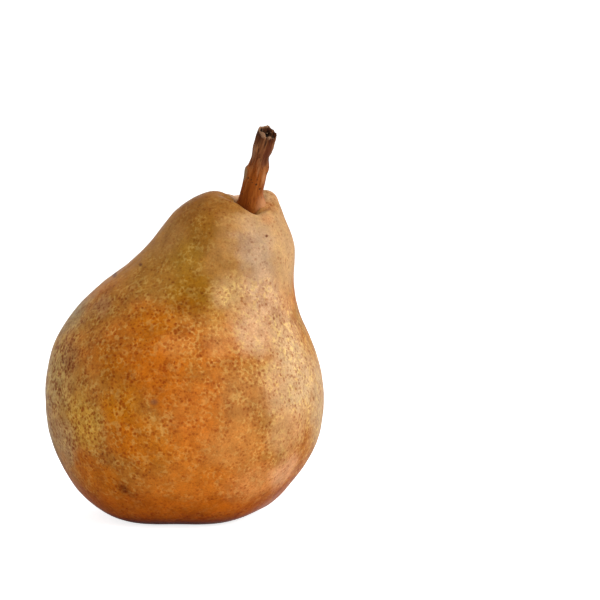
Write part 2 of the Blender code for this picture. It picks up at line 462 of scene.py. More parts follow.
def new_group(name: str, inputs: Mapping[str, Any], output: str) -> tuple[Graph, Any]:
    """Starts a node group with one output.

    Args:
        name: The group's name.
        inputs: The default of each input by its name, a number or a triple.
        output: The output's name, a mask or a height.

    Returns:
        The graph to draw in and the sockets that give the inputs, by name.
    """
    tree = bpy.data.node_groups.new(name, "ShaderNodeTree")
    for key, default in inputs.items():
        kind = "NodeSocketFloat" if isinstance(default, float) else "NodeSocketVector"
        tree.interface.new_socket(key, in_out="INPUT", socket_type=kind).default_value = default
    kind = "NodeSocketVector" if output == "Point" else "NodeSocketFloat"
    tree.interface.new_socket(output, in_out="OUTPUT", socket_type=kind)
    graph = Graph(tree)
    return graph, graph.add("NodeGroupInput").outputs


class Patterns:
    """The effects that more than one finish uses, each a node group. Points are in millimetres."""

    def __init__(self) -> None:
        """Makes every group once."""
        self.warp = self.make_warp()
        self.patch = self.make_patch()
        self.net = self.make_net()
        self.dots = self.make_dots()
        self.flecks = self.make_flecks()
        self.grain = self.make_grain()

    @staticmethod
    def finish_group(graph: Graph, socket: Socket) -> NodeGroup:
        """Links a group's result to its output."""
        graph.add("NodeGroupOutput", {0: socket})
        return graph.tree

    def mask(self, graph: Graph, point: Feed, at: Any) -> Socket:
        """Masks one patch or mark, by its place, size, softness and strength."""
        feeds = {"Centre": at.place, "Size": at.size, "Softness": at.softness, "Strength": at.strength}
        return graph.group(self.patch, {"Point": point} | feeds)

    @staticmethod
    def cells(graph: Graph, given: Any) -> bpy.types.Node:
        """Scatters points through the skin, a spacing apart."""
        scale = graph.math("DIVIDE", 1.0, given["Spacing"])
        return graph.add("TexVoronoi", {"Vector": given["Point"], "Scale": scale, "Randomness": 0.9})

    def make_warp(self) -> NodeGroup:
        """Moves a point about, so that what is drawn on it gets ragged edges."""
        graph, given = new_group("warp", {"Point": ORIGIN, "Size": 5.0, "Reach": 2.0}, "Point")
        noise = graph.noise(given["Point"], given["Size"], 2.0)
        reach = graph.vector("SUBTRACT", noise.outputs["Color"], (0.5, 0.5, 0.5))
        reach = graph.scaled(reach, graph.times(given["Reach"], 2.0))
        return self.finish_group(graph, graph.vector("ADD", given["Point"], reach))

    def make_patch(self) -> NodeGroup:
        """A soft round patch at one place: 1 in its middle and 0 outside its size."""
        inputs = {"Point": ORIGIN, "Centre": ORIGIN, "Size": (1.0, 1.0, 1.0)}
        inputs |= {"Softness": 0.6, "Strength": 1.0}
        graph, given = new_group("soft patch", inputs, "Mask")
        away = graph.vector("SUBTRACT", given["Point"], given["Centre"])
        far = graph.far(graph.vector("DIVIDE", away, given["Size"]))
        core = graph.math("SUBTRACT", 1.0, given["Softness"])
        return self.finish_group(graph, graph.ramp(far, core, 1.0, given["Strength"], 0.0))

    def make_net(self) -> NodeGroup:
        """Russet mottle: ragged spots that run together into a net as more of the skin is covered."""
        inputs = {"Point": ORIGIN, "Size": 1.6, "Cover": 0.5, "Edge": 0.08}
        graph, given = new_group("mottle", inputs, "Mask")
        noise = graph.noise(given["Point"], given["Size"], 3.0, 0.62).outputs["Fac"]
        level = graph.ramp(given["Cover"], 0.0, 1.0, 0.72, 0.30)
        low, high = (graph.math(operation, level, given["Edge"]) for operation in ("SUBTRACT", "ADD"))
        return self.finish_group(graph, graph.ramp(noise, low, high))

    def make_dots(self) -> NodeGroup:
        """Round dots, such as lenticels: one for each cell, of uneven size, and none in some cells.

        Returns:
            The group.
        """
        inputs = {"Point": ORIGIN, "Spacing": 1.4, "Size": 0.28, "Share": 0.8}
        graph, given = new_group("dots", inputs, "Mask")
        cells = self.cells(graph, given)
        chance = graph.add("SeparateColor", {0: cells.outputs["Color"]})
        far = graph.times(cells.outputs["Distance"], given["Spacing"])
        size = graph.times(given["Size"], graph.math("ADD", chance.outputs[0], 0.5))
        dot = graph.ramp(far, graph.times(size, 1.35), graph.times(size, 0.45))
        kept = graph.math("LESS_THAN", chance.outputs[1], given["Share"])
        return self.finish_group(graph, graph.times(dot, kept))

    def make_flecks(self) -> NodeGroup:
        """The pale skin that is left between the dots of the same spacing."""
        inputs = {"Point": ORIGIN, "Spacing": 1.0, "Near": 0.45, "Far": 0.75}
        graph, given = new_group("flecks", inputs, "Mask")
        uneven = graph.noise(given["Point"], 1.2, 2.0).outputs["Fac"]
        uneven = graph.times(graph.math("SUBTRACT", uneven, 0.5), 1.6)
        far = graph.math("ADD", self.cells(graph, given).outputs["Distance"], uneven)
        return self.finish_group(graph, graph.ramp(far, given["Near"], given["Far"]))

    def make_grain(self) -> NodeGroup:
        """Fine grain, from 0 to 1."""
        graph, given = new_group("grain", {"Point": ORIGIN, "Size": 0.5}, "Height")
        noise = graph.noise(given["Point"], given["Size"], 3.0, 0.6)
        return self.finish_group(graph, noise.outputs["Fac"])


@dataclass(frozen=True)
class Surface:
    """What a finish gives to its shader."""

    colour: Socket
    roughness: Socket
    height: Socket
    relief: float  # how strongly the height shows
    depth: float  # of the relief, in millimetres
    specular: float = 0.5
    sheen: float = 0.0
    glow: Feed = 0.0  # how strongly it shines by itself, in white


def new_material(name: str) -> tuple[bpy.types.Material, Graph]:
    """Starts an empty material."""
    material = bpy.data.materials.new(name)
    material.use_nodes = True
    return material, Graph(material.node_tree)


def shade_with(graph: Graph, surface: Surface) -> None:
    """Ends a material with its shader.

    Args:
        graph: The material's graph.
        surface: What the shader gets.
    """
    bump = {"Strength": surface.relief, "Distance": surface.depth * MM, "Height": surface.height}
    shader = graph.add(
        "BsdfPrincipled",
        {
            "Base Color": surface.colour,
            "Roughness": surface.roughness,
            "Normal": graph.add("Bump", bump).outputs[0],
            "Specular IOR Level": surface.specular,
            "Sheen Weight": surface.sheen,
            "Sheen Roughness": 0.2,
            "Emission Color": WHITE,
            "Emission Strength": surface.glow,
        },
    )
    graph.add("OutputMaterial", {0: shader.outputs[0]})


def own_point(graph: Graph) -> Socket:
    """A point of the piece in millimetres."""
    return graph.scaled(graph.add("TexCoord").outputs["Object"], 1 / MM)


# Finishes


class SkinPatch(NamedTuple):
    """One place on the skin with a colour and a mottle of its own; a few of them paint a highlight or a shade.
    """

    place: Triple
    size: Triple
    colour: tuple[int, int, int]
    strength: float
    flecks: float  # how pale its flecks are
    net: float  # how much russet net it shows
    dots: float  # how dark its dots are
    softness: float = 0.7


SKIN_PATCHES = (
    # the neck
    SkinPatch((6, -14, 90), (17, 16, 11), (130, 79, 21), 0.8, 0.15, 0.15, 0.4),
    SkinPatch((15, -21, 82), (8, 10, 12), (164, 118, 66), 0.8, 0.25, 0.1, 0.3),
    SkinPatch((6, -21, 83), (7, 9, 9), (132, 84, 18), 0.8, 0.3, 0.1, 0.4),
    # this patch and the next are pale on the neck's right: partly the skin's own pale tone and partly a painted
    # highlight where the key light falls
    SkinPatch((30, -13, 78), (12, 14, 22), (179, 139, 95), 0.9, 0.2, 0.05, 0.35),
    SkinPatch((22, -16, 85.5), (10, 8, 5.5), (186, 146, 102), 0.8, 0.2, 0.1, 0.3),
    SkinPatch((20, -3, 91), (10, 7.5, 5), (188, 146, 102), 0.9, 0.2, 0.5, 0.5, 0.5),
    SkinPatch((13, 1, 92), (5.5, 7, 4), (204, 158, 120), 0.9, 0.1, 0.1, 0.2, 0.4),
    SkinPatch((24, -8, 89), (3.5, 4, 2.6), (168, 110, 62), 0.7, 0.1, 0.8, 0.6, 0.8),
    # darker below the right of the stem's foot: painted shade in the crease there
    SkinPatch((23.5, -13, 86), (3, 4, 2.6), (176, 120, 74), 0.6, 0.1, 0.4, 0.4, 0.8),
    SkinPatch((-9, -20, 71), (11, 12, 10), (148, 98, 30), 0.7, 0.4, 0.3, 0.5),
    SkinPatch((1, -24, 76), (8, 9, 8), (146, 102, 20), 0.7, 0.45, 0.15, 0.4),
    SkinPatch((3, -27, 67.5), (12, 10, 8), (134, 86, 4), 0.85, 0.4, 0.3, 0.5),
    SkinPatch((1, -30, 63), (8, 8, 5), (136, 76, 0), 0.7, 0.15, 0.3, 0.6),
    # pale on the neck's right: partly the skin's own pale tone and partly a painted highlight where the key
    # light falls
    SkinPatch((21, -20, 77), (8, 10, 13), (174, 142, 111), 0.9, 0.2, 0.15, 0.3),
    SkinPatch((17, -22, 81), (5, 6, 6), (164, 128, 98), 0.6, 0.15, 0.3, 0.3),
    # the right flank, pale: partly the skin's own pale mottle and partly a painted highlight where the key
    # light falls
    SkinPatch((14, -27, 67), (8, 9, 8), (188, 148, 98), 0.7, 0.85, 0.4, 0.5),
    SkinPatch((23, -22, 65), (9, 11, 10), (194, 156, 120), 0.8, 0.7, 0.4, 0.5),
    SkinPatch((28, -19, 56), (10, 14, 11), (184, 148, 108), 0.8, 0.9, 0.5, 0.55),
    SkinPatch((31, -22, 42), (11, 20, 18), (196, 162, 120), 0.85, 0.9, 0.4, 0.55),
    SkinPatch((39, -8, 35), (7, 16, 20), (180, 148, 110), 0.8, 0.6, 0.4, 0.5),
    SkinPatch((26, -30, 41), (8, 10, 12), (188, 142, 98), 0.65, 0.6, 0.3, 0.5),
    SkinPatch((29, -26, 28), (10, 13, 9), (190, 138, 90), 0.7, 0.4, 0.3, 0.45),
    SkinPatch((20, -28, 56.5), (10, 10, 10), (196, 153, 112), 0.9, 0.5, 0.3, 0.4),
    # the belly
    SkinPatch((-8, -31, 58), (12, 10, 10), (170, 96, 4), 0.7, 0.25, 0.3, 0.6),
    SkinPatch((-12, -35, 46), (10, 10, 10), (168, 90, 0), 0.75, 0.2, 0.4, 0.5),
    SkinPatch((-4, -37, 46), (14, 12, 14), (182, 95, 12), 0.8, 0.2, 0.4, 0.5),
    SkinPatch((-19, -31, 48), (7, 8, 10), (158, 88, 0), 0.7, 0.25, 0.3, 0.6),
    SkinPatch((-1, -36, 53), (6, 8, 5), (192, 120, 52), 0.7, 0.5, 0.2, 0.5),
    SkinPatch((11, -33, 55), (7, 9, 7), (190, 128, 70), 0.6, 0.4, 0.2, 0.4),
    SkinPatch((4, -40, 34), (12, 10, 15), (194, 108, 34), 0.75, 0.25, 0.2, 0.45),
    SkinPatch((-5, -39, 39), (5, 6, 5), (176, 92, 14), 0.6, 0.15, 0.4, 0.5),
    SkinPatch((17, -35, 38), (10, 11, 14), (168, 106, 50), 0.75, 0.4, 0.3, 0.5),
    SkinPatch((15, -36, 25), (14, 12, 10), (190, 122, 56), 0.8, 0.3, 0.2, 0.4),
    SkinPatch((0, -39, 24), (8, 9, 8), (204, 114, 28), 0.6, 0.25, 0.2, 0.4),
    # the left flank
    SkinPatch((-20, -20, 62), (14, 12, 10), (152, 98, 34), 0.8, 0.4, 0.4, 0.6),
    SkinPatch((-24, -20, 64), (6, 8, 6), (158, 114, 74), 0.6, 0.3, 0.4, 0.7),
    SkinPatch((-16, -34, 36), (9, 10, 9), (184, 108, 2), 0.8, 0.3, 0.3, 0.65),
    SkinPatch((-35, -12, 42), (13, 24, 17), (174, 140, 82), 0.9, 0.6, 0.7, 1.0, 0.8),
    SkinPatch((-39, 0, 32), (12, 28, 20), (182, 154, 108), 0.8, 0.6, 0.6, 0.9, 0.9),
    SkinPatch((-27, -29, 31), (9, 10, 11), (198, 148, 58), 0.8, 0.5, 0.4, 0.95),
    SkinPatch((-33, -20, 24), (9, 12, 10), (168, 134, 90), 0.75, 0.5, 0.4, 0.8),
    SkinPatch((-31, -4, 60), (10, 20, 12), (154, 134, 98), 0.85, 0.4, 0.4, 0.6, 0.9),
    SkinPatch((-32, -22, 48), (6, 8, 6), (132, 84, 44), 0.5, 0.2, 0.7, 1.0),
    # the base
    SkinPatch((-11, -37, 26), (13, 12, 12), (188, 102, 0), 0.7, 0.3, 0.3, 0.5),
    SkinPatch((-24, -28, 15), (14, 14, 9), (180, 99, 8), 0.8, 0.2, 0.4, 0.4),
    SkinPatch((2, -34, 14), (20, 12, 10), (202, 114, 30), 0.75, 0.25, 0.2, 0.35),
    # this patch and the next are pale on the right of the base: partly the skin's own pale tone and partly a
    # painted highlight where the key light falls
    SkinPatch((22, -28, 14), (14, 14, 9), (206, 134, 70), 0.75, 0.3, 0.2, 0.4),
    SkinPatch((30, -21, 15), (8, 11, 9), (218, 162, 116), 0.7, 0.3, 0.2, 0.4),
    SkinPatch((0, -27, 7.5), (30, 14, 5), (186, 98, 14), 0.7, 0.15, 0.2, 0.3),
    # small marks
    SkinPatch((-7, -39.1, 38.2), (1.8, 3, 1.3), (116, 70, 46), 0.75, 0.0, 0.3, 0.3, 0.9),
    SkinPatch((-15.8, -30.4, 12.3), (2.8, 4, 2.4), (112, 50, 4), 0.7, 0.0, 0.5, 0.4, 0.8),
    SkinPatch((23.7, -16.6, 81.8), (0.55, 2, 0.55), (96, 46, 28), 0.9, 0.0, 0.5, 0.5, 0.6),
    SkinPatch((-11.6, -12, 73.4), (0.9, 5, 0.8), (84, 40, 22), 0.8, 0.0, 0.5, 0.5),
    SkinPatch((-19.5, -4, 69.7), (1.9, 7, 0.8), (88, 46, 26), 0.8, 0.0, 0.5, 0.5),
)


@dataclass(frozen=True)
class RussetSkin:
    """A ripe russet skin: a warm ground in patches, pale flecks, a brown net and dark dots, with a painted
    highlight on its right side and painted contact shade at its underside.
    """

    patches: tuple[SkinPatch, ...] = SKIN_PATCHES
    gold: Colour = shade(170, 118, 50)
    orange: Colour = shade(172, 98, 30)
    olive: Colour = shade(138, 102, 44)
    neck: Colour = shade(154, 106, 50)
    base: Colour = shade(162, 80, 8)
    # deep red-brown at the very bottom: painted contact shade where the pear meets the floor
    underside_shade: Colour = shade(120, 44, 4)
    cream: Colour = shade(228, 194, 112)
    net_tint: Colour = (0.58, 0.33, 0.23, 1.0)
    dot_tint: Colour = (0.34, 0.20, 0.16, 1.0)
    spacing: float = 1.0  # of the small dots, all through the skin's depth
    crisp_below: float = 5.0  # the size below which a patch has an even edge

    def ground(self, graph: Graph, point: Feed, height: Feed) -> Socket:
        """The broad colours all round the pear, with painted contact shade along the underside.

        Args:
            graph: The skin's graph.
            point: A point of the skin.
            height: How high it is.

        Returns:
            The colour.
        """
        broad = graph.noise(point, 26.0, 2.0).outputs["Fac"]
        colour = graph.mix(graph.ramp(broad, 0.35, 0.62), self.gold, self.orange)
        other = graph.noise(graph.vector("ADD", point, (40.0, 90.0, 20.0)), 19.0, 2.0).outputs["Fac"]
        colour = graph.mix(graph.ramp(other, 0.5, 0.7, 0.0, 0.8), colour, self.olive)
        colour = graph.mix(graph.ramp(height, 60.0, 80.0), colour, self.neck)
        colour = graph.mix(graph.ramp(height, 22.0, 6.0), colour, self.base)
        # painted contact shade: darker just above the floor
        return graph.mix(graph.ramp(height, 4.5, 0.6), colour, self.underside_shade)

    def make(self, patterns: Patterns) -> bpy.types.Material:
        """Draws the skin's material.

        Args:
            patterns: The shared node groups.

        Returns:
            The material.
        """
        material, graph = new_material("russet_skin")
        point = own_point(graph)
        height = graph.add("SeparateXYZ", {0: point}).outputs[2]
        colour = self.ground(graph, point, height)
        plain = graph.ramp(height, 58.0, 76.0)
        traits = graph.mix(plain, (0.5, 0.5, 0.5, 1.0), (0.15, 0.15, 0.2, 1.0))
        ragged = graph.group(patterns.warp, {"Point": point, "Size": 7.0, "Reach": 3.0})
        ragged = graph.group(patterns.warp, {"Point": ragged, "Size": 2.0, "Reach": 1.0})
        # the patches give the skin its own colours; a few paint a highlight on the right side and shade in the
        # crease by the stem's foot
        for patch in self.patches:
            edge = point if max(patch.size[0], patch.size[2]) < self.crisp_below else ragged
            mask = patterns.mask(graph, edge, patch)
            colour = graph.mix(mask, colour, shade(*patch.colour))
            traits = graph.mix(mask, traits, (patch.flecks, patch.net, patch.dots, 1.0))
        trait = graph.add("SeparateColor", {0: traits})

        wavy = graph.group(patterns.warp, {"Point": point, "Size": 1.1, "Reach": 0.5})
        other = graph.vector("ADD", point, (31.0, 17.0, 53.0))
        drift = graph.noise(point, 3.2, 2.0).outputs["Fac"]
        clumps = graph.noise(other, 3.6, 2.0).outputs["Fac"]

        flecks = graph.group(patterns.flecks, {"Point": wavy, "Spacing": self.spacing})
        flecks = graph.times(flecks, graph.ramp(drift, 0.4, 0.6, 0.1, 1.0), trait.outputs[0], 0.53)
        flecks = graph.times(flecks, graph.ramp(height, 1.0, 15.0, 0.15, 1.0))
        colour = graph.mix(flecks, colour, self.cream)

        amount = graph.ramp(clumps, 0.3, 0.72, 0.1, 0.7)
        net = graph.group(patterns.net, {"Point": other, "Size": 0.9, "Cover": amount, "Edge": 0.08})
        net = graph.times(net, trait.outputs[1], 0.8)
        colour = graph.mix(net, colour, self.net_tint, "MULTIPLY")

        dotted = trait.outputs[2]
        size, share = graph.ramp(dotted, 0.3, 1.0, 0.32, 0.5), graph.ramp(dotted, 0.2, 0.8, 0.45, 0.95)
        feeds = {"Point": wavy, "Spacing": self.spacing, "Size": size, "Share": share}
        pores = graph.times(graph.group(patterns.dots, feeds), graph.ramp(clumps, 0.3, 0.6, 0.55, 1.0))
        pores = graph.times(pores, graph.ramp(dotted, 0.0, 0.9, 0.3, 1.0))
        colour = graph.mix(pores, colour, self.net_tint, "MULTIPLY")
        dots = graph.group(patterns.dots, {"Point": other, "Spacing": 1.9, "Size": 0.26, "Share": 0.5})
        dots = graph.times(dots, graph.ramp(dotted, 0.0, 1.0, 0.15, 0.9))
        colour = graph.mix(dots, colour, self.dot_tint, "MULTIPLY")

        grain = graph.group(patterns.grain, {"Point": point, "Size": 0.45})
        cloudy = graph.noise(other, 4.2, 3.0, 0.6).outputs["Fac"]
        mottle = graph.ramp(grain, 0.25, 0.75, 0.86, 1.14)
        mottle = graph.times(mottle, graph.ramp(cloudy, 0.3, 0.7, 0.9, 1.12))
        grey = graph.add("CombineColor", {0: mottle, 1: mottle, 2: mottle}).outputs[0]
        colour = graph.mix(1.0, colour, grey, "MULTIPLY")

        roughness = graph.ramp(graph.noise(point, 3.0, 3.0).outputs["Fac"], 0.3, 0.7, 0.46, 0.6)
        roughness = graph.math("ADD", roughness, graph.times(net, 0.12))
        relief = graph.math("SUBTRACT", graph.times(grain, 0.5), graph.times(dots, 0.5))
        relief = graph.math("ADD", relief, graph.times(net, 0.15))
        shade_with(graph, Surface(colour, roughness, relief, 0.35, 0.12, specular=0.04, sheen=0.26))
        return material


@dataclass(frozen=True)
class StemFrame:
    """Where the stem stands, so that its bark can run along it."""

    foot: Triple = (18.1, -5.9, 88.2)  # on the ring tables' own axis
    lean: Triple = (0.150, -0.24, 1.0)
    length: float = 23.7  # from the floor of the pit to the torn end
    bow: float = 2.12  # how far the tip is bowed to the right of the straight line
    width: float = 5.6  # of the torn end
    fall: tuple[float, float] = (0.6, -1.8)  # of the torn end across its width, to the right and to the back

    @property
    def matrix(self) -> Matrix:
        """From the stem's own axes, with Z along it, to the part's, in metres."""
        up = Vector(self.lean).normalized()
        right = Vector((0.0, 1.0, 0.0)).cross(up).normalized()
        axes = Matrix((right, up.cross(right), up)).transposed()
        return moved(*(MIDDLE + Vector(self.foot))) @ axes.to_4x4()

    @property
    def whole_fall(self) -> float:
        """How far the torn end falls from its highest side to its lowest."""
        return self.fall[0] - self.fall[1]

    def fall_at(self, right: float, back: float) -> float:
        """How far the torn end has fallen at a place off its middle."""
        return (right * self.fall[0] + back * self.fall[1]) / self.width

    def bowed(self, along: float) -> float:
        """How far the middle of the stem is off the straight line."""
        return self.bow * along * abs(along) / self.length**2

    def point(self, graph: Graph) -> Socket:
        """A point of the stem on its own straightened axes, in millimetres."""
        feeds = {"Vector": graph.add("TexCoord").outputs["Object"], "Scale": (MM, MM, MM)}
        feeds |= {"Location": self.matrix.translation, "Rotation": self.matrix.to_euler()}
        point = graph.add("Mapping", feeds, vector_type="TEXTURE").outputs[0]
        right, back, along = graph.add("SeparateXYZ", {0: point}).outputs
        off = graph.times(along, graph.math("ABSOLUTE", along), self.bow / self.length**2)
        straight = graph.math("SUBTRACT", right, off)
        return graph.add("CombineXYZ", {0: straight, 1: back, 2: along}).outputs[0]


class BarkMark(NamedTuple):
    """One mark on the stem, on the stem's own axes; a few of them paint a highlight or a shadow."""

    place: Triple
    size: Triple
    colour: tuple[int, int, int]
    strength: float
    softness: float


BARK_MARKS = (
    BarkMark((1.7, -1.9, 17.4), (1.5, 1.9, 4.2), (86, 42, 22), 0.8, 0.3),  # grey bark that starts to peel
    # a pale streak along the lit right edge: a painted highlight
    BarkMark((2.6, -1.3, 17.6), (0.4, 0.8, 3.0), (150, 112, 88), 0.4, 0.6),
    # paler on the lit right side of the lower stem: a painted highlight
    BarkMark((2.5, -1.8, 10.8), (1.0, 1.4, 3.4), (174, 118, 74), 0.6, 0.8),
    BarkMark((-1.9, -1.6, 17.6), (0.9, 1.4, 4.0), (156, 112, 80), 0.6, 0.8),
    BarkMark((0.2, -2.6, 18.2), (0.9, 1.4, 3.6), (80, 34, 10), 0.65, 0.8),
    BarkMark((0.6, -2.6, 12.6), (0.6, 1.2, 2.6), (158, 106, 66), 0.5, 0.8),
    BarkMark((-2.9, -0.8, 10.6), (1.1, 1.8, 2.6), (134, 104, 72), 0.85, 0.4),  # the bud's scar
    BarkMark((3.8, -2.2, 1.6), (2.8, 3.4, 5.6), (190, 132, 86), 0.8, 0.8),  # skin drawn up the foot
    # dark at the left of the foot: a painted shadow where the stem meets the pit
    BarkMark((-1.4, -3.4, 0.9), (3.2, 3.0, 2.2), (84, 32, 2), 0.6, 0.8),
)


@dataclass(frozen=True)
class StemBark:
    """Bark with streaks along it: smooth and reddish low down, cracked and greyer towards the torn end. A few
    marks paint a highlight on its lit right side, and shade at its foot and in its torn end's hollow.
    """

    low: Colour = shade(128, 62, 10)
    low_pale: Colour = shade(150, 84, 28)
    low_dark: Colour = shade(98, 40, 2)
    high: Colour = shade(102, 50, 20)
    high_pale: Colour = shade(152, 96, 56)
    high_dark: Colour = shade(40, 18, 8)
    wood: Colour = shade(146, 110, 82)
    # near black inside the hollow of the torn end: painted shade
    hollow: Colour = shade(26, 11, 6)
    hollow_radius: tuple[float, float] = (2.3, 2.05)  # where its colour sets in, and is full
    hollow_depth: tuple[float, float] = (4.4, 3.6)
    marks: tuple[BarkMark, ...] = BARK_MARKS

    def make(self, patterns: Patterns, place: StemFrame) -> bpy.types.Material:
        """Draws the bark's material.

        Args:
            patterns: The shared node groups.
            place: Where the stem stands.

        Returns:
            The material.
        """
        material, graph = new_material("stem_bark")
        point = place.point(graph)
        along = graph.add("SeparateXYZ", {0: point}).outputs[2]
        wavy = graph.group(patterns.warp, {"Point": point, "Size": 3.0, "Reach": 0.35})
        lengthwise = graph.vector("MULTIPLY", wavy, (1.0, 1.0, 0.12))
        broad = graph.noise(lengthwise, 1.5, 2.0).outputs["Fac"]
        fine = graph.noise(graph.vector("ADD", lengthwise, (9.0, 4.0, 2.0)), 0.5, 3.0, 0.6).outputs["Fac"]
        upper = graph.ramp(along, 10.5, 16.5)

        low = graph.mix(graph.ramp(broad, 0.48, 0.7, 0.0, 0.7), self.low, self.low_pale)
        low = graph.mix(graph.ramp(broad, 0.45, 0.25, 0.0, 0.8), low, self.low_dark)
        low = graph.mix(graph.ramp(fine, 0.5, 0.32, 0.0, 0.6), low, self.low_dark)
        high = graph.mix(graph.ramp(broad, 0.46, 0.62), self.high, self.high_pale)
        high = graph.mix(graph.ramp(fine, 0.5, 0.36, 0.0, 0.9), high, self.high_dark)
        high = graph.mix(graph.ramp(along, 17.5, 22.5, 0.0, 0.55), high, self.high_dark)
        colour = graph.mix(upper, low, high)

        dots = graph.group(patterns.dots, {"Point": point, "Spacing": 1.2, "Size": 0.25, "Share": 0.6})
        dots = graph.times(dots, graph.ramp(along, 16.0, 10.0, 0.2, 0.9))
        colour = graph.mix(dots, colour, self.high_dark)

        rough_edge = graph.group(patterns.warp, {"Point": point, "Size": 1.0, "Reach": 0.35})
        for mark in self.marks:
            colour = graph.mix(patterns.mask(graph, rough_edge, mark), colour, shade(*mark.colour))

        across = graph.far(graph.vector("MULTIPLY", point, (1.0, 1.0, 0.0)))
        end = place.length
        level = (place.fall_at(1.0, 0.0), place.fall_at(0.0, 1.0), 1.0)
        level = graph.add("VectorMath", {0: point, 1: level}, operation="DOT_PRODUCT").outputs["Value"]
        rim = graph.ramp(graph.math("ADD", level, graph.times(fine, 2.0)), end + 0.5, end + 1.0)
        colour = graph.mix(graph.times(rim, 0.8), colour, self.wood)
        # the inside of the torn end's hollow is painted near black, flecked with wood: painted shade
        inside = graph.ramp(along, *(end - depth for depth in self.hollow_depth))
        inside = graph.times(graph.ramp(across, *self.hollow_radius), inside)
        deep = graph.mix(graph.ramp(fine, 0.5, 0.62, 0.0, 0.6), self.hollow, self.wood)
        colour = graph.mix(inside, colour, deep)

        grain = graph.group(patterns.grain, {"Point": point, "Size": 0.35})
        relief = graph.math("ADD", fine, graph.times(grain, 0.3))
        relief = graph.math("SUBTRACT", relief, graph.times(dots, 0.4))
        roughness = graph.ramp(broad, 0.3, 0.7, 0.72, 0.5)
        roughness = graph.math("ADD", roughness, graph.times(upper, 0.12))
        shade_with(graph, Surface(colour, roughness, relief, 0.8, 0.3, specular=0.08))
        return material


@dataclass(frozen=True)
class TornWood:
    """Fibres of the torn end, pale where they are fresh and dark where they have dried."""

    pale: Colour = shade(204, 172, 134)
    brown: Colour = shade(120, 78, 46)
    dark: Colour = shade(46, 24, 14)

    def make(self, patterns: Patterns, place: StemFrame) -> bpy.types.Material:
        """Draws the fibres' material.

        Args:
            patterns: The shared node groups.
            place: Where the stem stands.

        Returns:
            The material.
        """
        material, graph = new_material("torn_wood")
        point = place.point(graph)
        drawn_out = graph.vector("MULTIPLY", point, (1.0, 1.0, 0.2))
        grain = graph.group(patterns.grain, {"Point": drawn_out, "Size": 0.4})
        clumps = graph.noise(point, 1.3, 2.0).outputs["Fac"]
        colour = graph.mix(graph.ramp(clumps, 0.42, 0.58), self.dark, self.pale)
        colour = graph.mix(graph.ramp(grain, 0.5, 0.35, 0.0, 0.7), colour, self.brown)
        roughness = graph.ramp(grain, 0.3, 0.7, 0.9, 0.7)
        shade_with(graph, Surface(colour, roughness, grain, 0.6, 0.15, specular=0.3))
        return material


@dataclass(frozen=True)
class DriedSepal:
    """Withered calyx: near black in its folds, brown on its ridges and greyer at its edges."""

    dark: Colour = shade(38, 24, 16)
    brown: Colour = shade(96, 62, 36)
    pale: Colour = shade(142, 112, 78)

    def make(self, patterns: Patterns) -> bpy.types.Material:
        """Draws the calyx's material.

        Args:
            patterns: The shared node groups.

        Returns:
            The material.
        """
        material, graph = new_material("dried_calyx")
        point = own_point(graph)
        veins = graph.group(patterns.grain, {"Point": point, "Size": 0.6})
        clumps = graph.noise(point, 2.2, 2.0).outputs["Fac"]
        colour = graph.mix(graph.ramp(veins, 0.36, 0.6), self.dark, self.brown)
        colour = graph.mix(graph.ramp(clumps, 0.5, 0.7, 0.0, 0.7), colour, self.pale)
        net = graph.group(patterns.net, {"Point": point, "Size": 0.8, "Cover": 0.4, "Edge": 0.06})
        colour = graph.mix(graph.times(net, 0.6), colour, self.dark)
        roughness = graph.ramp(veins, 0.3, 0.7, 0.95, 0.75)
        shade_with(graph, Surface(colour, roughness, veins, 0.8, 0.3, specular=0.25))
        return material


# The fruit


class FruitRing(NamedTuple):
    """One cross-section of the fruit."""

    height: float  # of its middle above the floor
    radius: float
    right: float = 0.0  # how far its middle is swung to the right
    front: float = 0.0  # how far its middle is swung to the front
    nod: float = 0.0  # degrees that its plane tips to the front
    shoulders: float = 0.0  # how far it waves up at its two shoulders and down between them
    gap: float = 0.0  # how far it drops where the stem leans out over it
    gap_at: float = 317.0  # degrees from the right, through the back, to that place


FRUIT_RINGS = (
    FruitRing(87.2, 0.0, right=18.8, front=5.8, gap_at=285),
    FruitRing(87.2, 3.4, right=18.8, front=5.8, gap_at=285),
    FruitRing(88.6, 4.6, right=18.8, front=5.7, shoulders=1.2, gap=0.9, gap_at=285),
    FruitRing(91.9, 5.5, right=18.7, front=5.6, shoulders=0.4, gap=4.6, gap_at=290),
    FruitRing(93.1, 9.0, right=17.5, front=5.2, shoulders=1.0, gap=5.0, gap_at=314),
    FruitRing(91.2, 12.3, right=14.8, front=5.0, nod=1, shoulders=0.9, gap=5.0),
    FruitRing(88.0, 15.3, right=12.9, front=4.6, nod=2, shoulders=0.6, gap=4.1),
    FruitRing(84.4, 17.5, right=12.0, front=4.1, nod=3, shoulders=0.3, gap=2.5),
    FruitRing(79.0, 20.5, right=10.8, front=3.5, nod=4, shoulders=0.1, gap=1.2),
    FruitRing(73.0, 23.6, right=7.8, front=2.7, nod=4, gap=0.4),
    FruitRing(66.5, 27.9, right=3.3, front=1.8, nod=3),
    FruitRing(58.5, 32.4, right=0.1, front=0.8, nod=2),
    FruitRing(48.5, 37.4, right=-0.6, front=0.2),
    FruitRing(36.5, 40.1, right=-0.3),
    FruitRing(24.5, 39.1, right=-0.2),
    FruitRing(15.0, 35.1, right=-0.6),
    FruitRing(8.0, 30.4, right=-1.2),
    FruitRing(3.0, 25.3, right=-1.4),
    FruitRing(0.8, 20.2, right=-1.6),
    FruitRing(0.0, 14.2, right=-1.5),
    FruitRing(0.3, 10.0, right=-1.4),
    FruitRing(1.7, 7.6, right=-1.4),
    FruitRing(4.6, 6.2, right=-1.4),
    FruitRing(7.0, 3.6, right=-1.4),
    FruitRing(7.6, 0.0, right=-1.4),
)


